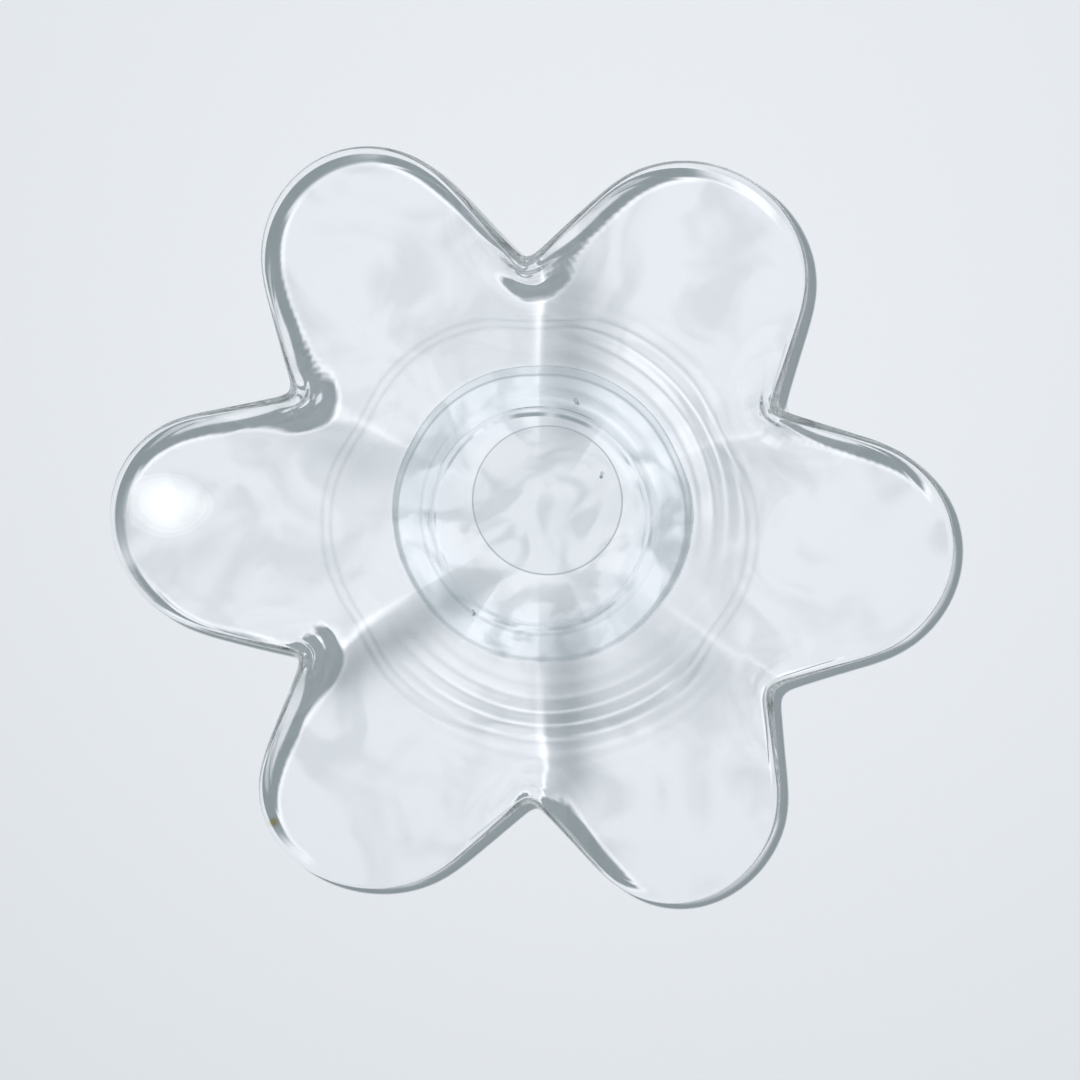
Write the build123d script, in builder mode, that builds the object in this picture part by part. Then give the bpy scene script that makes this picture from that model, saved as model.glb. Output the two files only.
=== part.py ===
"""Glass flower bowl for floating candles: a petal bowl, a merese and a foot, welded hot into one body.

Millimetres, +Z up. The origin is on the table under the middle of the foot, and one petal points along +X.
"""
from build123d import *
from math import asin, atan2, cos, hypot, radians, sin, sqrt
import os

os.makedirs("parts", exist_ok=True)

# Plan of the flower
PETALS = 6
SPAN = 250.0
NOTCH_RADIUS = 80.5
PETAL_END_RADIUS = 33.5

# Rim and wall of the bowl
RIM_HEIGHT = 56.0
RIM_WALL = 3.5
RIM_LAND = 0.8
LIP_ANGLE = 18.0
CREASE_WALL = 4.5

# Floor of the bowl
FLOOR_RADIUS = 16.0
FLOOR_THICKNESS = 7.0

# Merese, the wafer of glass between the bowl and the foot
MERESE_RADIUS = 35.0
MERESE_HEIGHT = 3.0
MERESE_BULGE = 1.2

# Foot
FOOT_RADIUS = 50.0
FOOT_HEIGHT = 7.0
FOOT_EDGE = 5.0
FOOT_RING_WIDTH = 7.0
RECESS_DEPTH = 1.5
RECESS_SLOPE_WIDTH = 2.0
PONTIL_RADIUS = 25.0
PONTIL_DEPTH = 1.8

# Rows from the floor to the rim: share of the rise, of a petal's reach and of a crease's reach
INSIDE_ROWS = (
    (0.00, 0.00, 0.00),
    (0.09, 0.21, 0.34),
    (0.33, 0.43, 0.66),
    (0.64, 0.66, 0.88),
    (0.87, 0.85, 0.97),
    (1.00, 1.00, 1.00),
)
OUTSIDE_ROWS = (
    (0.00, 0.00, 0.00),
    (0.05, 0.07, 0.12),
    (0.13, 0.18, 0.33),
    (0.35, 0.36, 0.60),
    (0.64, 0.60, 0.86),
    (0.87, 0.82, 0.96),
    (1.00, 1.00, 1.00),
)

# Points of a petal's outline from its axis to a notch
POINTS_PER_SIDE = 8

# Sizes that follow from these
TIP_RADIUS = SPAN / 2
HALF_PETAL = 180.0 / PETALS
MERESE_TOP = FOOT_HEIGHT + MERESE_HEIGHT
FLOOR_HEIGHT = MERESE_TOP + FLOOR_THICKNESS
LIP_REACH = RIM_WALL * sin(radians(LIP_ANGLE))
LIP_DROP = RIM_WALL * cos(radians(LIP_ANGLE))
RING_OUTER = FOOT_RADIUS - FOOT_EDGE / 2
RING_INNER = RING_OUTER - FOOT_RING_WIDTH
PONTIL_TOP = RECESS_DEPTH + PONTIL_DEPTH


def rim_radius(angle):
    """Radius of the flower's outline at an angle from a petal's axis: the round end, then a straight side."""
    angle = radians(angle)
    end_centre = TIP_RADIUS - PETAL_END_RADIUS
    notch_x = NOTCH_RADIUS * cos(radians(HALF_PETAL))
    notch_y = NOTCH_RADIUS * sin(radians(HALF_PETAL))
    to_centre = hypot(end_centre - notch_x, notch_y)
    heading = atan2(-notch_y, end_centre - notch_x) + asin(PETAL_END_RADIUS / to_centre)
    side = sqrt(to_centre**2 - PETAL_END_RADIUS**2)
    if angle <= atan2(notch_y + side * sin(heading), notch_x + side * cos(heading)):
        return end_centre * cos(angle) + sqrt(PETAL_END_RADIUS**2 - (end_centre * sin(angle)) ** 2)
    return (notch_y * cos(heading) - notch_x * sin(heading)) / sin(angle - heading)


def between(low, high, share):
    """The value a share of the way from low to high."""
    return low + share * (high - low)


def outline_points(tip, notch, petal):
    """Points of one petal's outline, from notch to notch."""
    points = []
    for step in range(-POINTS_PER_SIDE, POINTS_PER_SIDE + 1):
        turn = HALF_PETAL * step / POINTS_PER_SIDE
        share = (rim_radius(abs(turn)) - NOTCH_RADIUS) / (TIP_RADIUS - NOTCH_RADIUS)
        radius = between(notch, tip, share)
        heading = radians(2 * HALF_PETAL * petal + turn)
        points.append((radius * cos(heading), radius * sin(heading)))
    return points


def flower(tip, notch, height):
    """One flat flower section at a height."""
    with BuildSketch(Plane.XY.offset(height)) as section:
        with BuildLine():
            for petal in range(PETALS):
                Spline(*outline_points(tip, notch, petal))
        make_face()
    return section.sketch


def sections(rows, low, high):
    """Flower sections from low to high, each of these a tip radius, a notch radius and a height."""
    stack = []
    for rise, petal_reach, crease_reach in rows:
        tip = between(low[0], high[0], petal_reach)
        notch = between(low[1], high[1], crease_reach)
        stack.append(flower(tip, notch, between(low[2], high[2], rise)))
    return stack


# Petal bowl
OUTER_FOOT = (MERESE_RADIUS, MERESE_RADIUS, MERESE_TOP)
OUTER_RIM = (TIP_RADIUS, NOTCH_RADIUS, RIM_HEIGHT - LIP_DROP)
LAND_EDGE = (TIP_RADIUS - LIP_REACH, NOTCH_RADIUS - CREASE_WALL, RIM_HEIGHT)
INNER_RIM = (LAND_EDGE[0] - RIM_LAND, LAND_EDGE[1] - RIM_LAND, RIM_HEIGHT)
INNER_FLOOR = (FLOOR_RADIUS, FLOOR_RADIUS, FLOOR_HEIGHT)

with BuildPart() as petal_bowl:
    loft(sections(OUTSIDE_ROWS, OUTER_FOOT, OUTER_RIM))
    loft([flower(*OUTER_RIM), flower(*LAND_EDGE)], ruled=True)
    loft(sections(INSIDE_ROWS, INNER_FLOOR, INNER_RIM), mode=Mode.SUBTRACT)
petal_bowl.part.label = "petal_bowl"
export_step(petal_bowl.part, "parts/petal_bowl.step")

# Merese
with BuildPart() as merese:
    with BuildSketch(Plane.XZ):
        with BuildLine():
            Polyline((MERESE_RADIUS, MERESE_TOP), (0, MERESE_TOP), (0, FOOT_HEIGHT), (MERESE_RADIUS, FOOT_HEIGHT))
            ThreePointArc(
                (MERESE_RADIUS, FOOT_HEIGHT),
                (MERESE_RADIUS + MERESE_BULGE, FOOT_HEIGHT + MERESE_HEIGHT / 2),
                (MERESE_RADIUS, MERESE_TOP),
            )
        make_face()
    revolve(axis=Axis.Z)
merese.part.label = "merese"
export_step(merese.part, "parts/merese.step")

# Foot
with BuildPart() as foot:
    with BuildSketch(Plane.XZ):
        with BuildLine():
            ThreePointArc((RING_OUTER, 0), (FOOT_RADIUS, FOOT_EDGE / 2), (RING_OUTER, FOOT_EDGE))
            Polyline(
                (RING_OUTER, FOOT_EDGE),
                (MERESE_RADIUS, FOOT_HEIGHT),
                (0, FOOT_HEIGHT),
                (0, PONTIL_TOP),
            )
            TangentArc((0, PONTIL_TOP), (PONTIL_RADIUS, RECESS_DEPTH), tangent=(1, 0))
            Polyline(
                (PONTIL_RADIUS, RECESS_DEPTH),
                (RING_INNER - RECESS_SLOPE_WIDTH, RECESS_DEPTH),
                (RING_INNER, 0),
                (RING_OUTER, 0),
            )
        make_face()
    revolve(axis=Axis.Z)
foot.part.label = "foot"
export_step(foot.part, "parts/foot.step")
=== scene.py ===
"""Looks of the glass flower bowl for floating candles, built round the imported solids.

Metres, +Z up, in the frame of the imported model. The origin is on the table under the middle of the
foot, and one petal points along +X.
"""

import logging
import math
from abc import ABC, abstractmethod
from dataclasses import dataclass
from enum import Enum
from typing import ClassVar, Optional

import bpy
import numpy as np
from mathutils import Matrix, Vector


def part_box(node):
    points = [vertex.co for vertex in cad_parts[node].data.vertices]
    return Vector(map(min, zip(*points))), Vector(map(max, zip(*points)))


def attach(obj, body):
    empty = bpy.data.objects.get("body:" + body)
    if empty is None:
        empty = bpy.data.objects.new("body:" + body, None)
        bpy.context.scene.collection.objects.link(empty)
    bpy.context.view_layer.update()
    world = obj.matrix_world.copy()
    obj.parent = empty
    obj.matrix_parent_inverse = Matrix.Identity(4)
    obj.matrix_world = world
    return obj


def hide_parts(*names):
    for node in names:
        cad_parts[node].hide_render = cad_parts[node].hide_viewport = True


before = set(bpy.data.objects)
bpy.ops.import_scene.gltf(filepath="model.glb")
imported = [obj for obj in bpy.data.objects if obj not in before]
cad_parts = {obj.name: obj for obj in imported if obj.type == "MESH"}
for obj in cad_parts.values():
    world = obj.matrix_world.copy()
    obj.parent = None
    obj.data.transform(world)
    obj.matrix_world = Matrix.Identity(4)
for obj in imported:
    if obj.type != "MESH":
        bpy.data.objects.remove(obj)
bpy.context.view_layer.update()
LOG = logging.getLogger("flower_bowl")

MM = 0.001
TURN = 2.0 * math.pi
QUARTER = math.pi / 2.0
BODY = "root"
LAMP_SHARE = "lamp_share"
LIGHT_BOUNCES = 32
COLUMNS = 480
ANGLES = np.linspace(0.0, TURN, COLUMNS, endpoint=False)
WELD_RADIUS = 35.0 * MM

Ring = np.ndarray
Values = float | np.ndarray
Pair = tuple[float, float]
Triple = tuple[float, float, float]
Socket = bpy.types.NodeSocket


class Node(Enum):
    """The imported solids, by name."""

    BOWL = "petal_bowl"
    MERESE = "merese"
    FOOT = "foot"


class Side(Enum):
    """The two faces of the bowl's wall."""

    INSIDE = "inside"
    UNDERSIDE = "underside"


class Ramp(Enum):
    """How a value runs from one end of a range to the other."""

    STRAIGHT = "LINEAR"
    SMOOTH = "SMOOTHSTEP"


def between(ends: tuple[Values, Values], share: Values) -> Values:
    """The value a share of the way from the first end to the second."""
    return ends[0] + share * (ends[1] - ends[0])


def turned(turn: np.ndarray, heading: float) -> np.ndarray:
    """Angle from a heading, in degrees, to each turn: from minus to plus half a turn."""
    return np.angle(np.exp(1j * (turn - math.radians(heading))))


def spline(
    knots: np.ndarray,
    values: np.ndarray,
    at: np.ndarray,
    start_slope: Optional[float] = None,
) -> np.ndarray:
    """Cubic spline through values at knots.

    Args:
        knots: Rising places of the values.
        values: The values to pass through.
        at: The places to read.
        start_slope: Slope at the first knot, or None for a free end.

    Returns:
        The spline's value at each place.
    """
    gaps = np.diff(knots)
    rises = np.diff(values) / gaps
    count = len(knots)
    matrix = np.eye(count)
    target = np.zeros(count)
    for i in range(1, count - 1):
        matrix[i, i - 1 : i + 2] = gaps[i - 1], 2.0 * (gaps[i - 1] + gaps[i]), gaps[i]
        target[i] = 6.0 * (rises[i] - rises[i - 1])
    if start_slope is not None:
        matrix[0, :2] = 2.0 * gaps[0], gaps[0]
        target[0] = 6.0 * (rises[0] - start_slope)
    bend = np.linalg.solve(matrix, target)
    left = np.clip(np.searchsorted(knots, at, side="right") - 1, 0, count - 2)
    gap = gaps[left]
    back = (knots[left + 1] - at) / gap
    ahead = (at - knots[left]) / gap
    curve = (back**3 - back) * bend[left] + (ahead**3 - ahead) * bend[left + 1]
    return back * values[left] + ahead * values[left + 1] + curve * gap**2 / 6.0


def round_the_turn(values: tuple[float, ...]) -> np.ndarray:
    """Smooth run round the bowl through values that are evenly spaced from the +X direction.

    Args:
        values: One value per station.

    Returns:
        The value at each of ANGLES.
    """
    count = len(values)
    stations = np.arange(-count, 2 * count + 1) * TURN / count
    return spline(stations, np.array(values * 3 + values[:1]), ANGLES)


def soften(values: np.ndarray, half_width: float) -> np.ndarray:
    """Values round the bowl, averaged over a window that fades to both sides.

    Args:
        values: One value per column.
        half_width: Half of the window, in degrees.

    Returns:
        The softened values.
    """
    reach = max(1, round(half_width / 360.0 * COLUMNS))
    window = np.hanning(2 * reach + 3)[1:-1]
    window /= window.sum()
    wrapped = np.concatenate([values[-reach:], values, values[:reach]])
    return np.convolve(wrapped, window, "valid")


def ring(radius: Values, height: Values, turn: np.ndarray = ANGLES) -> Ring:
    """One closed row of points.

    Args:
        radius: Radius of each column, or one for all.
        height: Height of each column, or one for all.
        turn: Angle of each column.

    Returns:
        The points, one row each.
    """
    radius = np.broadcast_to(radius, turn.shape)
    height = np.broadcast_to(height, turn.shape)
    return np.stack([radius * np.cos(turn), radius * np.sin(turn), height], axis=-1)


def round_corner(before: Ring, corner: Ring, after: Ring, size: float, steps: int = 6) -> list[Ring]:
    """Rows that round off a corner row.

    Args:
        before: The row on one side.
        corner: The sharp row.
        after: The row on the other side.
        size: How far along each side the rounding starts, at most half of the way.
        steps: Number of rows.

    Returns:
        The rows of the rounding.
    """
    sides = []
    for other in (before, after):
        way = other - corner
        length = np.linalg.norm(way, axis=1, keepdims=True)
        sides.append(corner + way * np.minimum(size / length, 0.5))
    rows = []
    for share in np.linspace(0.0, 1.0, steps):
        rows.append((1 - share) ** 2 * sides[0] + 2 * share * (1 - share) * corner + share**2 * sides[1])
    return rows


def mesh_object(name: str, points: list[Triple], faces: list[tuple[int, ...]]) -> bpy.types.Object:
    """Smooth mesh object in the scene.

    Args:
        name: Name of the object.
        points: Its points.
        faces: For each face, the numbers of its points.

    Returns:
        The new object.
    """
    mesh = bpy.data.meshes.new(name)
    mesh.from_pydata(points, [], faces)
    mesh.validate()
    mesh.shade_smooth()
    piece = bpy.data.objects.new(name, mesh)
    bpy.context.scene.collection.objects.link(piece)
    return piece


def skin(
    name: str,
    rings: list[Ring],
    first_pole: Optional[Vector] = None,
    last_pole: Optional[Vector] = None,
    shares: Optional[list[Values]] = None,
) -> bpy.types.Object:
    """Mesh object stretched over rows of points, each row a closed turn.

    Args:
        name: Name of the object.
        rings: The rows, in order along the surface.
        first_pole: Point that closes the first row, or None to leave it open.
        last_pole: Point that closes the last row, or None to leave it open.
        shares: For each row, the share of the lamp's light that passes there, or None where all of it does.

    Returns:
        The new object.
    """
    points = np.concatenate(rings)
    column = np.arange(COLUMNS)
    following = (column + 1) % COLUMNS
    faces = []
    for row in range(len(rings) - 1):
        low, high = row * COLUMNS, (row + 1) * COLUMNS
        quads = np.stack([low + column, high + column, high + following, low + following], axis=-1)
        faces.extend(quads.tolist())
    poles = []
    closed_rows = []
    for pole, row, order in ((first_pole, 0, 1), (last_pole, len(rings) - 1, -1)):
        if pole is None:
            continue
        middle = np.full(COLUMNS, len(points) + len(poles))
        fan = np.stack([middle, row * COLUMNS + column, row * COLUMNS + following], axis=-1)
        faces.extend(fan[:, ::order].tolist())
        poles.append(tuple(pole))
        closed_rows.append(row)
    piece = mesh_object(name, points.tolist() + poles, faces)
    passed = np.ones(len(piece.data.vertices))
    if shares is not None:
        passed[: len(points)] = np.concatenate([np.broadcast_to(share, COLUMNS) for share in shares])
        passed[len(points) :] = [np.mean(shares[row]) for row in closed_rows]
    piece.data.attributes.new(LAMP_SHARE, "FLOAT", "POINT").data.foreach_set("value", passed)
    return piece


@dataclass(frozen=True)
class HandWork:
    """What working by hand did to the even flower.

    There is one value per petal or notch, counter-clockwise from +X. The drift, in degrees, has one for
    each petal and each notch.
    """

    petal_reach: tuple[float, ...] = (1.008, 0.985, 1.016, 1.022, 1.008, 0.986)
    notch_reach: tuple[float, ...] = (1.028, 1.008, 1.014, 0.973, 1.004, 1.070)
    drift: tuple[float, ...] = (1.0, 0.0, 0.0, 2.0, 1.0, 1.0, 0.0, 1.0, -1.0, 3.0, 0.0, 1.0)
    lift: tuple[float, ...] = (0.0, 0.4 * MM, -0.3 * MM, 0.2 * MM, -0.4 * MM, 0.3 * MM)

    def turns(self) -> np.ndarray:
        """Angle of each column, drifted as the petals and notches are."""
        return ANGLES + np.radians(round_the_turn(self.drift))

    def petals(self) -> np.ndarray:
        """Factor on the reach of each column's petal."""
        return round_the_turn(self.petal_reach)

    def notches(self) -> np.ndarray:
        """Factor on the reach of each column's notch."""
        half = COLUMNS // (2 * len(self.notch_reach))
        return np.roll(round_the_turn(self.notch_reach), half)

    def heights(self) -> np.ndarray:
        """How much higher or lower each column's rim lies."""
        return round_the_turn(self.lift)


@dataclass(frozen=True)
class FlowerPlan:
    """Outline of the flower: round petal ends and straight sides that meet in notches."""

    tip: float
    notch: float = 80.5 * MM
    petal_end: float = 33.5 * MM
    petals: int = 6

    def shares(self) -> np.ndarray:
        """Share of the way from the notch circle to the tip circle.

        Returns:
            The share at each column.
        """
        half = math.pi / self.petals
        turn = np.abs((ANGLES + half) % (2.0 * half) - half)
        centre = self.tip - self.petal_end
        notch_x, notch_y = self.notch * math.cos(half), self.notch * math.sin(half)
        to_centre = math.hypot(centre - notch_x, notch_y)
        heading = math.atan2(-notch_y, centre - notch_x) + math.asin(self.petal_end / to_centre)
        side = math.sqrt(to_centre**2 - self.petal_end**2)
        join = math.atan2(notch_y + side * math.sin(heading), notch_x + side * math.cos(heading))
        inside = np.maximum(self.petal_end**2 - (centre * np.sin(turn)) ** 2, 0.0)
        round_end = centre * np.cos(turn) + np.sqrt(inside)
        ahead = np.sin(np.maximum(turn, join) - heading)
        straight = (notch_y * math.cos(heading) - notch_x * math.sin(heading)) / ahead
        radius = np.where(turn <= join, round_end, straight)
        return (radius - self.notch) / (self.tip - self.notch)


@dataclass(frozen=True)
class Profile:
    """Rows of a bowl surface from its middle to its rim.

    Each row is a share of the rise, of a petal's reach and of a crease's reach. Each end is a radius
    along a petal, a radius along a crease and a height.
    """

    rows: tuple[Triple, ...]
    low: Triple
    high: Triple
    start_level: bool

    def read(self, places: np.ndarray) -> tuple[np.ndarray, np.ndarray, np.ndarray]:
        """Radius along a petal, radius along a crease and height.

        Args:
            places: Where to read, from 0 at the middle to 1 at the rim.

        Returns:
            The three values at each place.
        """
        table = np.array(self.rows)
        height = between((self.low[2], self.high[2]), table[:, 0])
        petal = between((self.low[0], self.high[0]), table[:, 1])
        crease = between((self.low[1], self.high[1]), table[:, 2])
        length = np.concatenate([[0.0], np.cumsum(np.hypot(np.diff(petal), np.diff(height)))])
        knots = length / length[-1]
        level = 0.0 if self.start_level else None
        return (
            spline(knots, petal, places),
            spline(knots, crease, places),
            spline(knots, height, places, level),
        )


@dataclass(frozen=True)
class ToolMark:
    """Fine ripples that a tool pressed into the soft glass, over part of a turn."""

    radius: float
    spread: float
    wave: float
    depth: float
    heading: float
    opening: float
    slant: float = 0.05
    phase: float = 1.5

    def press(self, radius: np.ndarray, turn: np.ndarray) -> np.ndarray:
        """How far the mark moves the surface.

        Args:
            radius: Radius of each point.
            turn: Angle of each point.

        Returns:
            The height to add at each point.
        """
        away = turned(turn, self.heading) / math.radians(self.opening)
        along = radius - self.radius * (1.0 + self.slant * away)
        fade = np.exp(-((along / self.spread) ** 2) - away**4)
        return self.depth * fade * np.sin(TURN * along / self.wave + self.phase * away)


TOOL_MARKS = (
    ToolMark(58.0 * MM, spread=8.0 * MM, wave=4.4 * MM, depth=0.07 * MM, heading=38.0, opening=40.0),
    ToolMark(60.0 * MM, spread=8.0 * MM, wave=4.0 * MM, depth=0.07 * MM, heading=275.0, opening=44.0),
    ToolMark(39.0 * MM, spread=5.0 * MM, wave=6.0 * MM, depth=0.10 * MM, heading=52.0, opening=34.0),
)


@dataclass(frozen=True)
class Seams:
    """Fine seams under the bowl, which swing out a little on every petal."""

    radii: tuple[float, ...] = (61.0 * MM, 64.0 * MM)
    swing: float = 3.0 * MM
    width: float = 0.6 * MM
    depth: float = 0.12 * MM
    # Share of the lamp's light that each seam holds back: a painted shadow line on the table under it
    loss: float = 0.22
    softness: float = 6.0

    def lines(self, radius: np.ndarray, tips: np.ndarray) -> list[np.ndarray]:
        """How near each column of a row lies to each seam.

        Args:
            radius: Radius of each column.
            tips: For each column, 0 at a notch and 1 at a tip.

        Returns:
            For each seam, values from 0 far away to 1 on it.
        """
        reach = self.swing * soften(tips, self.softness)
        return [np.exp(-(((radius - seam - reach) / self.width) ** 2)) for seam in self.radii]


@dataclass(frozen=True)
class PaintedCreaseLight:
    """Painted light and shade at the creases: one flank gets painted shade in the lamp's light, and the
    ridge between them a painted bright line.

    The depth has one value per crease, counter-clockwise from +X. Each run of stations is the radii
    where an effect begins, is full, is still full and ends.
    """

    depth: tuple[float, ...] = (0.25, 0.9, 0.4, 1.0, 0.9, 0.3)
    flank_stations: tuple[float, ...] = (16.0 * MM, 34.0 * MM, 76.0 * MM, 86.0 * MM)
    flank_middle: float = 9.0 * MM
    flank_width: float = 10.0 * MM
    flank_loss: float = 0.6
    shade_heading: float = -45.0
    ridge_stations: tuple[float, ...] = (44.0 * MM, 64.0 * MM, 76.0 * MM, 84.0 * MM)
    ridge_width: float = 1.0 * MM
    ridge_gain: float = 0.8
    come_and_go: tuple[float, ...] = (0.0, 1.0, 1.0, 0.0)

    def share(self, radius: np.ndarray) -> np.ndarray:
        """Share of the light that passes beside the creases.

        Args:
            radius: Radius of each column.

        Returns:
            The share at each column.
        """
        count = len(self.depth)
        step = TURN / count
        past = np.mod(ANGLES, step) - step / 2.0
        facing = np.cos(ANGLES - past + QUARTER - math.radians(self.shade_heading))
        away = radius * np.abs(past)
        flank = (past * facing > 0.0) * np.exp(-(((away - self.flank_middle) / self.flank_width) ** 2))
        flank = flank * np.interp(radius, self.flank_stations, self.come_and_go)
        ridge = np.exp(-((away / self.ridge_width) ** 2))
        ridge = ridge * np.interp(radius, self.ridge_stations, self.come_and_go)
        depth = np.array(self.depth)[np.arange(COLUMNS) * count // COLUMNS]
        return 1.0 + depth * (self.ridge_gain * ridge - self.flank_loss * flank)


@dataclass(frozen=True)
class PaintedRimShadow:
    """Painted shadow band below the rim in the lamp's light, with a painted bright line further in.

    Each pair is a size at the tips of the petals and beside the notches. The lit side of the flower
    faces the lamp, and the lee side faces away from it.
    """

    start: Pair = (0.0 * MM, 5.0 * MM)
    lit_width: Pair = (3.0 * MM, 5.6 * MM)
    lee_width: Pair = (2.8 * MM, 5.2 * MM)
    side_gain: float = 1.7 * MM
    lee_heading: float = -40.0
    lee_turn: float = 0.75
    sideways: float = 0.5
    softness: float = 3.0
    fade: float = 0.4 * MM
    # Share of the lamp's light in the painted shadow band, then width and gain of the painted bright line
    share: float = 0.05
    line_width: float = 0.5 * MM
    line_gain: float = 0.4

    def read(self, row: Ring, rim: Ring, tips: np.ndarray) -> tuple[np.ndarray, np.ndarray]:
        """How far each column of a row lies in the painted shadow band, and how far on the painted bright
        line.

        Args:
            row: The row.
            rim: Row on the outer edge of the rim.
            tips: For each column, 0 at a notch and 1 at a tip.

        Returns:
            Two values from 0 to 1 for each column.
        """
        beside = 1.0 - soften(tips, self.softness)
        gaps = np.hypot(*(row[:, None, :2] - rim[None, :, :2]).T).T
        lit = self.lit_side(rim)[gaps.argmin(axis=1)]
        start = lit * (between(self.start, beside) + self.fade) - self.fade
        width = between((between(self.lee_width, beside), between(self.lit_width, beside)), lit)
        width = width + self.side_gain * (1.0 - np.abs(2.0 * lit - 1.0))
        into = gaps.min(axis=1) - start
        bend = np.clip(into / self.fade, 0.0, 1.0)
        bend = bend * np.clip((width - into) / self.fade, 0.0, 1.0)
        line = np.exp(-(((into - width) / self.line_width - 1.0) ** 2))
        return bend, line

    def lit_side(self, rim: Ring) -> np.ndarray:
        """How far each column's edge faces the lamp.

        Args:
            rim: Row on the outer edge of the rim.

        Returns:
            A value from 0 on the lee side to 1 on the lit side.
        """
        along = np.roll(rim, -1, axis=0) - np.roll(rim, 1, axis=0)
        facing = np.arctan2(-along[:, 0], along[:, 1])
        lee = np.cos(facing - math.radians(self.lee_heading))
        return soften(np.clip(self.sideways - self.lee_turn * lee, 0.0, 1.0), self.softness)


@dataclass(frozen=True)
class Grain:
    """Noise in the glass: patches per metre, number of finer layers, and how much they bend each other."""

    scale: float
    detail: float
    twist: float


@dataclass(frozen=True)
class Wiring:
    """The nodes of one finish or light, and the links between them."""

    tree: bpy.types.NodeTree

    def add(self, kind: str) -> bpy.types.Node:
        """New node of a kind."""
        return self.tree.nodes.new(kind)

    def join(self, start: Socket, end: Socket) -> None:
        """Lead the value of one socket to another."""
        self.tree.links.new(start, end)

    def noise(self, place: Socket, grain: Grain) -> Socket:
        """Noise read at a place.

        Args:
            place: Socket with the place.
            grain: The noise.

        Returns:
            The socket with the noise.
        """
        node = self.add("ShaderNodeTexNoise")
        node.inputs["Scale"].default_value = grain.scale
        node.inputs["Detail"].default_value = grain.detail
        node.inputs["Distortion"].default_value = grain.twist
        self.join(place, node.inputs["Vector"])
        return node.outputs["Fac"]

    def mapped(self, value: Socket, given: Pair, made: Pair, ramp: Ramp = Ramp.STRAIGHT) -> Socket:
        """One range of values turned into another.

        Args:
            value: Socket with the value.
            given: Ends of the range that is read.
            made: Ends of the range that it becomes.
            ramp: How the value runs between the ends.

        Returns:
            The socket with the new value.
        """
        node = self.add("ShaderNodeMapRange")
        node.interpolation_type = ramp.value
        node.inputs["From Min"].default_value = given[0]
        node.inputs["From Max"].default_value = given[1]
        node.inputs["To Min"].default_value = made[0]
        node.inputs["To Max"].default_value = made[1]
        self.join(value, node.inputs["Value"])
        return node.outputs["Result"]

    def mixed(self, factor: Socket, second: Triple) -> bpy.types.Node:
        """Mix of two colours, of which the first is still to be given.

        Args:
            factor: Socket with the share of the second colour.
            second: The second colour.

        Returns:
            The node.
        """
        node = self.add("ShaderNodeMix")
        node.data_type = "RGBA"
        node.inputs["B"].default_value = (*second, 1.0)
        self.join(factor, node.inputs["Factor"])
        return node


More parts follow.
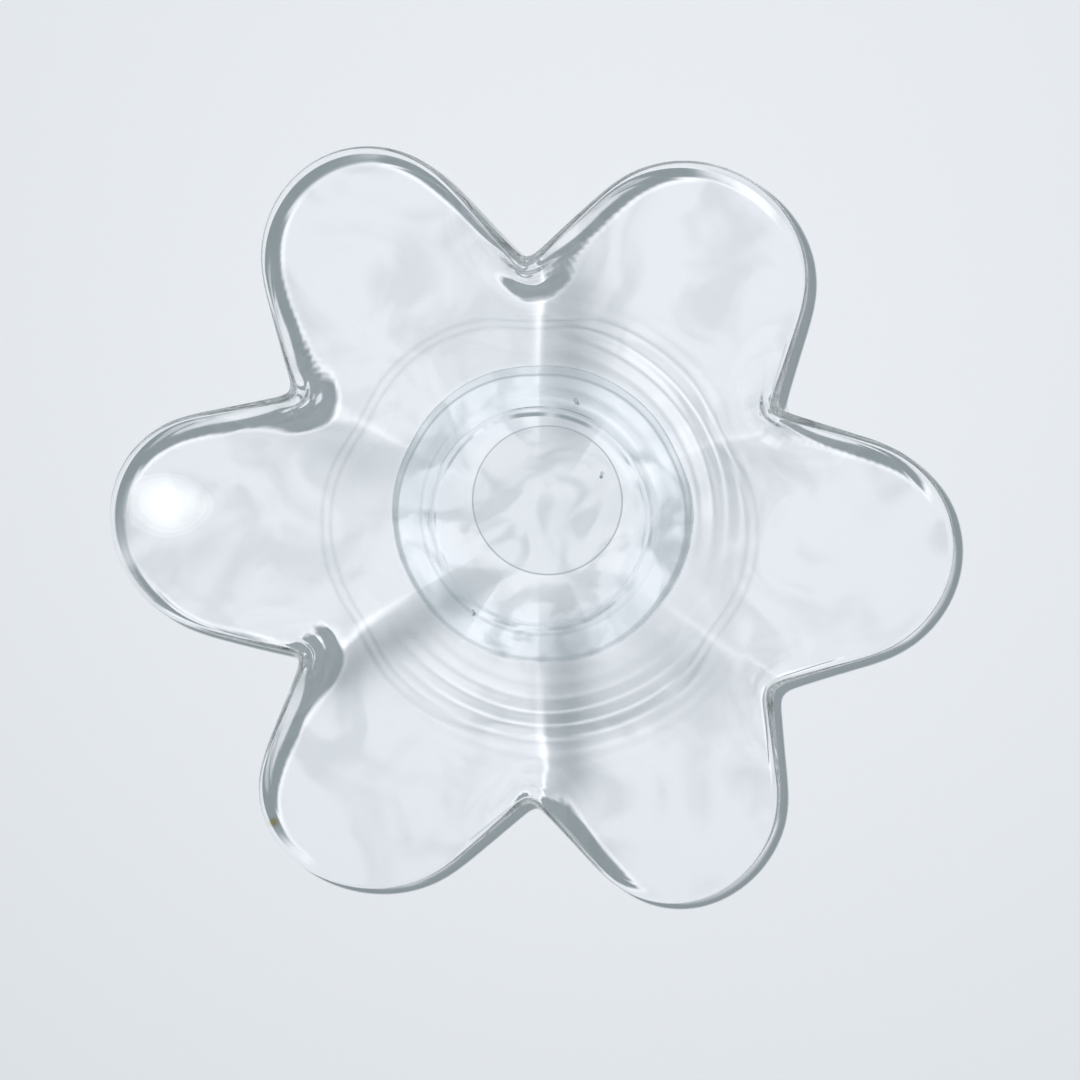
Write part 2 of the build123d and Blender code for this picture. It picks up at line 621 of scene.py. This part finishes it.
@dataclass(frozen=True)
class GlassFinish:
    """Clear hand-worked glass: faint cool tint, cords and chill marks in the surface, a few smears, and
    noise patches of painted shade in the lamp's light on the table.
    """

    name: str
    ior: float = 1.5
    tint: Triple = (0.985, 0.993, 0.996)
    cords: Grain = Grain(scale=16.0, detail=4.0, twist=1.2)
    cord_tint: Triple = (0.965, 0.982, 0.988)
    cord_stretch: float = 0.22
    bump: float = 0.05
    bump_distance: float = 0.5 * MM
    smears: Grain = Grain(scale=26.0, detail=6.0, twist=0.6)
    smear_range: Pair = (0.55, 0.80)
    smear: float = 0.06
    polish: float = 0.0
    # Noise patches of painted shade that the glass casts in the lamp's light
    shade_patches: Grain = Grain(scale=28.0, detail=2.0, twist=1.6)
    shade_patch_range: Pair = (0.46, 0.60)
    shade_patch_share: float = 0.90
    stain: Optional[Triple] = None
    stain_colour: Triple = (0.62, 0.42, 0.12)
    stain_size: float = 2.2 * MM
    stain_core: float = 0.4

    def material(self) -> bpy.types.Material:
        """The finish as a node material.

        Returns:
            The new material.
        """
        made = bpy.data.materials.new(self.name)
        made.use_nodes = True
        wiring = Wiring(made.node_tree)
        glass = made.node_tree.nodes["Principled BSDF"]
        glass.inputs["Transmission Weight"].default_value = 1.0
        glass.inputs["IOR"].default_value = self.ior
        place = wiring.add("ShaderNodeTexCoord").outputs["Object"]
        cords = self.corded(wiring, place)
        wiring.join(self.tinted(wiring, place, cords), glass.inputs["Base Color"])

        smears = wiring.noise(place, self.smears)
        roughness = wiring.mapped(smears, self.smear_range, (self.polish, self.smear))
        wiring.join(roughness, glass.inputs["Roughness"])

        dent = wiring.add("ShaderNodeBump")
        dent.inputs["Strength"].default_value = self.bump
        dent.inputs["Distance"].default_value = self.bump_distance
        wiring.join(cords, dent.inputs["Height"])
        wiring.join(dent.outputs["Normal"], glass.inputs["Normal"])

        both = wiring.add("ShaderNodeMixShader")
        wiring.join(wiring.add("ShaderNodeLightPath").outputs["Is Shadow Ray"], both.inputs["Fac"])
        wiring.join(glass.outputs["BSDF"], both.inputs[1])
        wiring.join(self.for_lamps(wiring, place), both.inputs[2])
        wiring.join(both.outputs["Shader"], made.node_tree.nodes["Material Output"].inputs["Surface"])
        return made

    def corded(self, wiring: Wiring, place: Socket) -> Socket:
        """Cords, drawn out upwards.

        Args:
            wiring: Nodes of the material.
            place: Socket with the place.

        Returns:
            The socket with the cords.
        """
        stretched = wiring.add("ShaderNodeMapping")
        stretched.inputs["Scale"].default_value = (1.0, 1.0, self.cord_stretch)
        wiring.join(place, stretched.inputs["Vector"])
        return wiring.noise(stretched.outputs["Vector"], self.cords)

    def tinted(self, wiring: Wiring, place: Socket, cords: Socket) -> Socket:
        """The colour, deeper in the cords, with an amber fleck at one place if there is one.

        Args:
            wiring: Nodes of the material.
            place: Socket with the place.
            cords: Socket with the cords.

        Returns:
            The socket with the colour.
        """
        tint = wiring.mixed(cords, self.cord_tint)
        tint.inputs["A"].default_value = (*self.tint, 1.0)
        if self.stain is None:
            return tint.outputs["Result"]
        away = wiring.add("ShaderNodeVectorMath")
        away.operation = "DISTANCE"
        away.inputs[1].default_value = self.stain
        wiring.join(place, away.inputs[0])
        rim = (self.stain_size, self.stain_core * self.stain_size)
        fleck = wiring.mixed(wiring.mapped(away.outputs["Value"], rim, (0.0, 1.0)), self.stain_colour)
        wiring.join(tint.outputs["Result"], fleck.inputs["A"])
        return fleck.outputs["Result"]

    def for_lamps(self, wiring: Wiring, place: Socket) -> Socket:
        """What the lamps meet: glass that passes their light on as the lamp share says, with painted light
        and shade, thinned in noise patches of painted shade.

        Args:
            wiring: Nodes of the material.
            place: Socket with the place.

        Returns:
            The shader's socket.
        """
        share = wiring.add("ShaderNodeAttribute")
        share.attribute_name = LAMP_SHARE
        clouds = wiring.noise(place, self.shade_patches)
        shade_patches = wiring.mapped(clouds, self.shade_patch_range, (1.0, self.shade_patch_share), Ramp.SMOOTH)
        product = wiring.add("ShaderNodeMath")
        product.operation = "MULTIPLY"
        wiring.join(share.outputs["Fac"], product.inputs[0])
        wiring.join(shade_patches, product.inputs[1])
        clear = wiring.add("ShaderNodeBsdfTransparent")
        wiring.join(product.outputs["Value"], clear.inputs["Color"])
        return clear.outputs["BSDF"]


BOWL_GLASS = GlassFinish("clear_bowl_glass", stain=(-74.6 * MM, -92.7 * MM, 54.5 * MM))
FOOT_GLASS = GlassFinish(
    "clear_foot_glass",
    cords=Grain(scale=30.0, detail=4.0, twist=1.2),
    smear=0.03,
    shade_patches=Grain(scale=38.0, detail=2.0, twist=1.6),
    shade_patch_share=0.72,
)


class GlassPiece(ABC):
    """A piece of glass that builds its own mesh and is then dressed."""

    node: ClassVar[Optional[Node]] = None

    @abstractmethod
    def build(self) -> bpy.types.Object:
        """The piece's mesh."""

    def dress(self, finish: bpy.types.Material) -> bpy.types.Object:
        """Build the piece, give it its finish and its body, and hide the imported solid that it stands for.

        Args:
            finish: Its material.

        Returns:
            The piece.
        """
        piece = self.build()
        piece.data.materials.append(finish)
        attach(piece, BODY)
        if self.node is not None:
            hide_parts(self.node.value)
        return piece


@dataclass
class PetalBowl(GlassPiece):
    """The bowl: six petals drawn out of one gather of glass, with a fire-polished rim."""

    node = Node.BOWL
    plan: FlowerPlan
    rim_height: float
    weld_height: float
    hand: HandWork = HandWork()
    marks: tuple[ToolMark, ...] = TOOL_MARKS
    seams: Seams = Seams()
    creases: PaintedCreaseLight = PaintedCreaseLight()
    rim_shadow: PaintedRimShadow = PaintedRimShadow()

    # Rim, wall and floor
    rim_wall: float = 3.5 * MM
    rim_land: float = 0.8 * MM
    lip_angle: float = 18.0
    crease_wall: float = 2.0 * MM
    floor_radius: float = 16.0 * MM
    floor_thickness: float = 7.0 * MM
    edge_round: float = 1.4 * MM

    # Rounding of the creases in degrees, and how it narrows and the hand work grows towards the rim
    ridge_at_rim: float = 3.2
    ridge_at_floor: float = 11.0
    ridge_rise: float = 0.6
    hand_rise: float = 1.5

    # Shares of the lamp's light, which paint light and shade on the table: a thin painted shadow line under
    # the rim's edge, a little painted light under the clear glass, and painted light and shade along the
    # tool marks
    edge_share: float = 0.4
    clear_share: float = 1.08
    mark_gain: float = 0.34

    # Rows of the mesh. Those inside are closest where tools marked the glass and next to the rim.
    edge_rows: int = 12
    lip_rows: int = 6
    tucked_rows: int = 2
    floor_rows: int = 6
    underside_rows: int = 44
    row_runs: tuple[tuple[float, float, int], ...] = (
        (0.00, 0.22, 12),
        (0.22, 0.60, 58),
        (0.60, 0.82, 12),
        (0.82, 0.91, 11),
        (0.91, 1.00, 25),
    )

    # Share of the rise, of a petal's reach and of a crease's reach
    inside_rows: tuple[Triple, ...] = (
        (0.00, 0.00, 0.00),
        (0.09, 0.21, 0.34),
        (0.33, 0.43, 0.66),
        (0.64, 0.66, 0.88),
        (0.87, 0.85, 0.97),
        (1.00, 1.00, 1.00),
    )
    outside_rows: tuple[Triple, ...] = (
        (0.00, 0.00, 0.00),
        (0.05, 0.07, 0.12),
        (0.13, 0.18, 0.33),
        (0.35, 0.36, 0.60),
        (0.64, 0.60, 0.86),
        (0.87, 0.82, 0.96),
        (1.00, 1.00, 1.00),
    )

    def inside(self) -> Profile:
        """Rows of the hollow, from the floor to the rim.

        Returns:
            The profile.
        """
        reach = self.rim_wall * math.sin(math.radians(self.lip_angle)) + self.rim_land
        floor = self.weld_height + self.floor_thickness
        rim = (self.plan.tip - reach, self.plan.notch - self.crease_wall - self.rim_land, self.rim_height)
        return Profile(self.inside_rows, (self.floor_radius, self.floor_radius, floor), rim, True)

    def outside(self) -> Profile:
        """Rows of the underside, from the weld to the rim.

        Returns:
            The profile.
        """
        drop = self.rim_wall * math.cos(math.radians(self.lip_angle))
        weld = (WELD_RADIUS, WELD_RADIUS, self.weld_height)
        rim = (self.plan.tip, self.plan.notch, self.rim_height - drop)
        return Profile(self.outside_rows, weld, rim, False)

    def inside_places(self) -> np.ndarray:
        """Where the rows inside lie, from 0 at the floor to 1 at the rim.

        Returns:
            The places.
        """
        runs = []
        for start, end, count in self.row_runs:
            runs.append(np.linspace(start, end, count, endpoint=False))
        return np.concatenate([*runs, [1.0]])

    def surface(self, profile: Profile, places: np.ndarray, side: Side) -> list[Ring]:
        """Rows of one surface, shaped by hand.

        Args:
            profile: The surface's rows.
            places: Where along the profile the rows lie.
            side: The inside, which has the tool marks, or the underside with its seams.

        Returns:
            The rows of points.
        """
        petal, crease, height = profile.read(places)
        tips = self.plan.shares()
        turns = self.hand.turns()
        rows = []
        for i, place in enumerate(places):
            soft = soften(tips, between((self.ridge_at_floor, self.ridge_at_rim), place**self.ridge_rise))
            by_hand = place**self.hand_rise
            notch = crease[i] * between((1.0, self.hand.notches()), by_hand)
            tip = petal[i] * between((1.0, self.hand.petals()), by_hand)
            radius = between((notch, tip), soft)
            level = height[i] + by_hand * self.hand.heights()
            if side is Side.INSIDE:
                for mark in self.marks:
                    level = level + mark.press(radius, turns)
            else:
                for seam in self.seams.lines(radius, tips):
                    level = level + self.seams.depth * seam
            rows.append(ring(radius, level, turns))
        return rows

    def land_edge(self) -> Ring:
        """Row on the outer edge of the rim's narrow flat.

        Returns:
            The row of points.
        """
        reach = self.rim_wall * math.sin(math.radians(self.lip_angle))
        notch = (self.plan.notch - self.crease_wall) * self.hand.notches()
        tip = (self.plan.tip - reach) * self.hand.petals()
        radius = between((notch, tip), soften(self.plan.shares(), self.ridge_at_rim))
        return ring(radius, self.rim_height + self.hand.heights(), self.hand.turns())

    def build(self) -> bpy.types.Object:
        """The bowl's mesh, open where it is welded to the merese.

        Returns:
            The bowl.
        """
        inside = self.surface(self.inside(), self.inside_places(), Side.INSIDE)
        outside = self.surface(self.outside(), np.linspace(1.0, 0.0, self.underside_rows), Side.UNDERSIDE)
        lip = (inside[-1] + self.land_edge()) / 2.0
        floor_height = self.weld_height + self.floor_thickness
        rows = []
        for step in range(1, self.floor_rows):
            rows.append(ring(self.floor_radius * step / self.floor_rows, floor_height))
        rows += inside[: -self.lip_rows]
        rows += round_corner(inside[-self.lip_rows - 1], lip, outside[0], self.edge_round, self.edge_rows)
        rim = round_corner(lip, outside[0], outside[self.tucked_rows], self.edge_round, self.edge_rows)
        half = self.edge_rows // 2
        rows += rim[:half]
        shares = [self.lamp_share(row, rim[half]) for row in rows]
        rows += rim[half:]
        # The outer half of the rim's rounding passes only the edge share: a thin painted shadow line along
        # the rim.
        shares += [self.edge_share] * (len(rows) - len(shares))
        rows += outside[self.tucked_rows : -1]
        rows.append(ring(WELD_RADIUS, self.weld_height))
        shares += [1.0] * (len(rows) - len(shares))
        pole = Vector((0.0, 0.0, floor_height))
        return skin(Node.BOWL.value + "_glass", rows, first_pole=pole, shares=shares)

    def lamp_share(self, row: Ring, rim: Ring) -> np.ndarray:
        """Share of the lamp's light that passes at a row of the upper surface: painted light and shade on
        the table from the rim's band and bright line, the creases, the tool marks and the seams.

        Args:
            row: The row.
            rim: Row on the outer edge of the rim.

        Returns:
            The share at each column.
        """
        tips = self.plan.shares()
        bend, line = self.rim_shadow.read(row, rim, tips)
        radius = np.hypot(row[:, 0], row[:, 1])
        share = self.clear_share * self.creases.share(radius) * (1.0 + self.rim_shadow.line_gain * line)
        # Painted light and shade along the tool marks, and painted shadow lines under the seams
        for mark in self.marks:
            share = share + self.mark_gain * mark.press(radius, self.hand.turns()) / mark.depth
        for seam in self.seams.lines(radius, tips):
            share = share - self.seams.loss * seam
        # In the rim's band the lamp's light falls to the band's share: a painted shadow
        return between((share, self.rim_shadow.share), bend)


@dataclass
class Merese(GlassPiece):
    """The wafer of glass between bowl and foot: only its bulged edge meets the air."""

    node = Node.MERESE
    low: float
    high: float
    edge_radius: float
    rows: int = 11
    # Headings, and width in degrees, of painted dark arcs of shadow under the merese's edge in the lamp's
    # light
    shaded_arcs: tuple[float, ...] = (98.0, 74.0)
    shaded_arc_width: float = 9.0

    def build(self) -> bpy.types.Object:
        """The merese's edge, open to the bowl above and to the foot below.

        Returns:
            The merese.
        """
        half = (self.high - self.low) / 2.0
        middle = (self.high + self.low) / 2.0
        bulge = self.edge_radius - WELD_RADIUS
        rows = []
        for lean in np.linspace(QUARTER, -QUARTER, self.rows):
            rows.append(ring(WELD_RADIUS + bulge * math.cos(lean), middle + half * math.sin(lean)))
        # Painted shade: the lamp's light falls away in the dark arcs
        share = np.ones(COLUMNS)
        for heading in self.shaded_arcs:
            away = turned(ANGLES, heading) / math.radians(self.shaded_arc_width)
            share = share * (1.0 - np.exp(-(away**4)))
        return skin(Node.MERESE.value + "_glass", rows, shares=[share] * len(rows))


@dataclass
class Foot(GlassPiece):
    """The applied foot: a round edge, a ring to stand on, a recess and a polished pontil mark."""

    node = Node.FOOT
    radius: float
    height: float
    edge: float = 5.0 * MM
    ring_width: float = 7.0 * MM
    recess: float = 1.5 * MM
    recess_slope: float = 2.0 * MM
    soft_corner: float = 0.5 * MM

    # Pontil mark
    pontil_radius: float = 25.0 * MM
    pontil_depth: float = 1.8 * MM
    pontil_drift: Pair = (2.0 * MM, 5.8 * MM)
    pontil_edge: float = 0.2 * MM
    pontil_border: float = 1.012
    pontil_span: Pair = (0.99, 0.06)

    # Shares of the lamp's light, which paint light and shade on the table: painted light under the slope,
    # thin painted shadow lines at the edges, and a little painted shade under the pontil mark
    slope_share: float = 1.16
    edge_share: float = 0.35
    pontil_share: float = 0.88

    # Rows of the mesh
    slope_rows: int = 16
    edge_rows: int = 22
    pontil_rows: int = 18
    pontil_edge_rows: int = 4

    def build(self) -> bpy.types.Object:
        """The foot's mesh, open where it is welded to the merese.

        Returns:
            The foot.
        """
        half = self.edge / 2.0
        ring_outer = self.radius - half
        ring_inner = ring_outer - self.ring_width
        recess_edge = ring_inner - self.recess_slope
        rows = []
        for share in np.linspace(0.0, 1.0, self.slope_rows):
            radius = between((WELD_RADIUS, ring_outer), share)
            rows.append(ring(radius, between((self.height, self.edge), share)))
        # Painted light under the slope and a painted shadow line at its outer edge
        shares = [self.slope_share] * (len(rows) - 1) + [self.edge_share]
        for lean in np.linspace(QUARTER, -QUARTER, self.edge_rows)[1:]:
            rows.append(ring(ring_outer + half * math.cos(lean), half + half * math.sin(lean)))
        stand = ring(ring_inner, 0.0)
        lip = ring(recess_edge, self.recess)
        roof = self.pontil_row(1.0, self.recess)
        rows += round_corner(rows[-1], stand, lip, self.soft_corner)
        rows += round_corner(stand, lip, roof, self.soft_corner)
        rows.append(self.pontil_row(self.pontil_border, self.recess))
        shares += [1.0] * (len(rows) - len(shares))
        rows += self.pontil(roof, lip)
        # A painted shadow line round the pontil mark, and painted shade under it
        shares += [self.edge_share] * self.pontil_edge_rows
        shares += [self.pontil_share] * (len(rows) - len(shares))
        return skin(Node.FOOT.value + "_glass", rows, last_pole=self.pontil_middle(), shares=shares)

    def pontil_row(self, share: float, height: float) -> Ring:
        """Row round the pontil mark, which lies a little off the middle.

        Args:
            share: Share of the pontil mark's radius.
            height: Height of the row.

        Returns:
            The row of points.
        """
        return ring(self.pontil_radius * share, height) + np.array([*self.pontil_drift, 0.0])

    def pontil_middle(self) -> Vector:
        """The highest point of the pontil mark."""
        return Vector((*self.pontil_drift, self.recess + self.pontil_depth))

    def pontil(self, roof: Ring, lip: Ring) -> list[Ring]:
        """Rows of the polished hollow, from its edge to its middle.

        Args:
            roof: Row where the hollow meets the recess.
            lip: Row outside it.

        Returns:
            The rows of points.
        """
        ball = (self.pontil_radius**2 + self.pontil_depth**2) / (2.0 * self.pontil_depth)
        rows = []
        for share in np.linspace(*self.pontil_span, self.pontil_rows):
            rise = math.sqrt(ball**2 - (share * self.pontil_radius) ** 2) - ball + self.pontil_depth
            rows.append(self.pontil_row(share, self.recess + rise))
        return round_corner(lip, roof, rows[0], self.pontil_edge, self.pontil_edge_rows) + rows


@dataclass
class SeedBubbles(GlassPiece):
    """Tiny air bubbles that stayed in the glass, each a place and a radius."""

    bubbles: tuple[tuple[float, float, float, float], ...] = (
        (10.7 * MM, 39.2 * MM, 15.0 * MM, 0.8 * MM),
        (19.8 * MM, 15.8 * MM, 13.0 * MM, 0.6 * MM),
        (-20.0 * MM, -31.0 * MM, 14.0 * MM, 0.5 * MM),
    )
    around: int = 16
    rows: int = 8

    def build(self) -> bpy.types.Object:
        """All bubbles as one mesh, each a void whose faces look inwards.

        Returns:
            The bubbles.
        """
        points = []
        faces = []
        for bubble in self.bubbles:
            faces += self.faces(len(points))
            points += self.points(bubble[:3], bubble[3])
        # The bubbles carry no share of the lamp's light, so each casts a small fully dark painted shadow.
        return mesh_object("seed_bubbles", points, faces)

    def points(self, middle: Triple, radius: float) -> list[Triple]:
        """Points of one bubble, from its top to its bottom.

        Args:
            middle: Its place.
            radius: Its radius.

        Returns:
            The points.
        """
        x, y, z = middle
        points = [(x, y, z + radius)]
        for row in range(1, self.rows):
            lean = math.pi * row / self.rows
            reach = radius * math.sin(lean)
            height = z + radius * math.cos(lean)
            for step in range(self.around):
                turn = TURN * step / self.around
                points.append((x + reach * math.cos(turn), y + reach * math.sin(turn), height))
        points.append((x, y, z - radius))
        return points

    def faces(self, top: int) -> list[tuple[int, ...]]:
        """Faces of one bubble.

        Args:
            top: Number of its top point.

        Returns:
            The faces.
        """
        faces = []
        last_row = top + 1 + (self.rows - 2) * self.around
        for step in range(self.around):
            ahead = (step + 1) % self.around
            faces.append((top, top + 1 + ahead, top + 1 + step))
            for low in range(top + 1, last_row, self.around):
                high = low + self.around
                faces.append((low + step, low + ahead, high + ahead, high + step))
            faces.append((last_row + step, last_row + ahead, last_row + self.around))
        return faces


@dataclass
class Studio:
    """Plain pale table, soft light from all round, a small lamp overhead and a glare in one petal.

    The glare comes from round lights of rising size, one close behind the other, so that it fades at its
    edge. A card with a hole keeps it to the one petal.
    """

    # Table
    table_colour: Triple = (0.80, 0.83, 0.87)
    table_roughness: float = 0.85
    table_shine: float = 0.1
    table_half: float = 6.0
    table_drop: float = 0.3 * MM

    # Sky, from the horizon to overhead
    low_sky: Triple = (0.10, 0.14, 0.15)
    high_sky: Triple = (0.86, 0.98, 1.0)
    sky_stops: Pair = (0.15, 0.40)
    sky_level: float = 0.37

    # Lamp
    lamp_place: Triple = (0.027, 0.099, 0.603)
    lamp_size: float = 0.006
    lamp_power: float = 28.0
    lamp_colour: Triple = (1.0, 0.946, 0.938)

    # Glare and card
    glare_place: Triple = (0.35, -0.265, 1.15)
    glare_target: Triple = (-0.111, 0.010, 0.052)
    glare_size: float = 0.46
    glare_steps: int = 7
    glare_level: float = 9.0
    glare_gap: float = 4.0 * MM
    card_height: float = 0.13
    card_hole: float = 0.042
    card_radius: float = 0.40

    def table(self) -> None:
        """The table top, as stage."""
        half, drop = self.table_half, -self.table_drop
        corners = [(-half, -half, drop), (half, -half, drop), (half, half, drop), (-half, half, drop)]
        top = mesh_object("table", corners, [(0, 1, 2, 3)])
        paint = bpy.data.materials.new("table_paint")
        paint.use_nodes = True
        shader = paint.node_tree.nodes["Principled BSDF"]
        shader.inputs["Base Color"].default_value = (*self.table_colour, 1.0)
        shader.inputs["Roughness"].default_value = self.table_roughness
        shader.inputs["Specular IOR Level"].default_value = self.table_shine
        top.data.materials.append(paint)

    def sky(self) -> None:
        """Soft light from all round: darker near the horizon, bright overhead."""
        world = bpy.data.worlds.new("studio_sky")
        bpy.context.scene.world = world
        world.use_nodes = True
        world.cycles.sampling_method = "NONE"
        wiring = Wiring(world.node_tree)
        backdrop = world.node_tree.nodes["Background"]
        backdrop.inputs["Strength"].default_value = self.sky_level
        way = wiring.add("ShaderNodeSeparateXYZ")
        wiring.join(wiring.add("ShaderNodeTexCoord").outputs["Generated"], way.inputs["Vector"])
        shade = wiring.add("ShaderNodeValToRGB")
        wiring.join(way.outputs["Z"], shade.inputs["Fac"])
        wiring.join(shade.outputs["Color"], backdrop.inputs["Color"])
        colours = (self.low_sky, self.high_sky)
        for stop, position, colour in zip(shade.color_ramp.elements, self.sky_stops, colours):
            stop.position = position
            stop.color = (*colour, 1.0)

    def card(self) -> None:
        """Card as bright as the sky, with a hole through which one petal mirrors the glare."""
        target, place = Vector(self.glare_target), Vector(self.glare_place)
        middle = target + (place - target) * ((self.card_height - target.z) / (place.z - target.z))
        rows = [ring(radius, 0.0) + np.array(middle) for radius in (self.card_hole, self.card_radius)]
        sheet = skin("card", rows)
        glow = bpy.data.materials.new("card_glow")
        glow.use_nodes = True
        wiring = Wiring(glow.node_tree)
        nodes = glow.node_tree.nodes
        nodes.remove(nodes["Principled BSDF"])
        shine = wiring.add("ShaderNodeEmission")
        shine.inputs["Color"].default_value = (*self.high_sky, 1.0)
        shine.inputs["Strength"].default_value = self.sky_level
        wiring.join(shine.outputs["Emission"], nodes["Material Output"].inputs["Surface"])
        sheet.data.materials.append(glow)
        sheet.visible_camera = False
        sheet.visible_diffuse = False
        sheet.visible_transmission = False
        sheet.visible_shadow = False

    def light(self, name: str, place: Vector, size: float, power: float) -> bpy.types.Object:
        """A round light that is as strong far away as it is near.

        Args:
            name: Name of the light.
            place: Where it hangs.
            size: Its width.
            power: Its power in watts.

        Returns:
            The light.
        """
        lamp = bpy.data.lights.new(name, "POINT")
        lamp.shadow_soft_size = size / 2.0
        lamp.energy = power
        lamp.use_nodes = True
        wiring = Wiring(lamp.node_tree)
        even = wiring.add("ShaderNodeLightFalloff")
        even.inputs["Strength"].default_value = 1.0
        wiring.join(even.outputs["Constant"], lamp.node_tree.nodes["Emission"].inputs["Strength"])
        holder = bpy.data.objects.new(name, lamp)
        holder.location = place
        holder.visible_transmission = False
        bpy.context.scene.collection.objects.link(holder)
        return holder

    def lights(self) -> None:
        """The lamp, which the glass doesn't mirror, and the glare, which is seen only mirrored."""
        lamp = self.light("lamp", Vector(self.lamp_place), self.lamp_size, self.lamp_power)
        lamp.data.color = self.lamp_colour
        lamp.visible_glossy = False
        for step in range(self.glare_steps):
            size = self.glare_size * (step + 1) / self.glare_steps
            place = Vector(self.glare_place) + Vector((0.0, 0.0, self.glare_gap * step))
            glare = self.light("glare", place, size, self.glare_level * size**2)
            glare.visible_diffuse = False

    def build(self) -> None:
        """Set up the table, the sky and the lights, and let light bounce on inside the thick glass."""
        self.table()
        self.sky()
        self.lights()
        self.card()
        cycles = bpy.context.scene.cycles
        cycles.blur_glossy = 0.0
        cycles.max_bounces = LIGHT_BOUNCES
        cycles.transmission_bounces = LIGHT_BOUNCES
        cycles.glossy_bounces = LIGHT_BOUNCES


@dataclass
class TopCamera:
    """The photograph's camera: nearly overhead, leaning a little, turned about its own line of sight."""

    target: Vector
    distance: float = 0.555
    lean: float = 10.2
    heading: float = 56.6
    roll: float = 3.0
    sensor: float = 36.0
    frame_width: float = 320.0 * MM
    shift: Pair = (0.014, -0.002)

    def build(self) -> bpy.types.Object:
        """The camera, set as the scene's own.

        Returns:
            The camera.
        """
        lean, heading, roll = (math.radians(turn) for turn in (self.lean, self.heading, self.roll))
        aside = math.sin(lean)
        back = Vector((aside * math.cos(heading), aside * math.sin(heading), math.cos(lean)))
        right = Vector((math.cos(roll), math.sin(roll), 0.0))
        right = (right - right.dot(back) * back).normalized()
        up = back.cross(right)
        data = bpy.data.cameras.new("top_camera")
        data.sensor_width = self.sensor
        data.lens = self.sensor * self.distance / self.frame_width
        data.shift_x, data.shift_y = self.shift
        holder = bpy.data.objects.new("top_camera", data)
        turn = Matrix((right, up, back)).transposed().to_4x4()
        holder.matrix_world = Matrix.Translation(self.target + back * self.distance) @ turn
        bpy.context.scene.collection.objects.link(holder)
        bpy.context.scene.camera = holder
        return holder


def main() -> None:
    """Build the bowl, its stage and its camera, and report each piece."""
    logging.basicConfig(level=logging.INFO, format="%(name)s: %(message)s")
    bowl_low, bowl_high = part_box(Node.BOWL.value)
    merese_low, merese_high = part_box(Node.MERESE.value)
    _, foot_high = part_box(Node.FOOT.value)

    bowl = PetalBowl(FlowerPlan(tip=bowl_high.x), rim_height=bowl_high.z, weld_height=bowl_low.z)
    merese = Merese(low=merese_low.z, high=merese_high.z, edge_radius=merese_high.x)
    foot = Foot(radius=foot_high.x, height=foot_high.z)
    clear = BOWL_GLASS.material()
    thick = FOOT_GLASS.material()
    for part, finish in ((bowl, clear), (merese, thick), (foot, thick), (SeedBubbles(), thick)):
        piece = part.dress(finish)
        LOG.info("%s: %d faces", piece.name, len(piece.data.polygons))

    Studio().build()
    TopCamera(Vector((0.0, 0.0, bowl_high.z))).build()
    bpy.context.scene.view_settings.view_transform = "Standard"


if __name__ == "__main__":
    main()
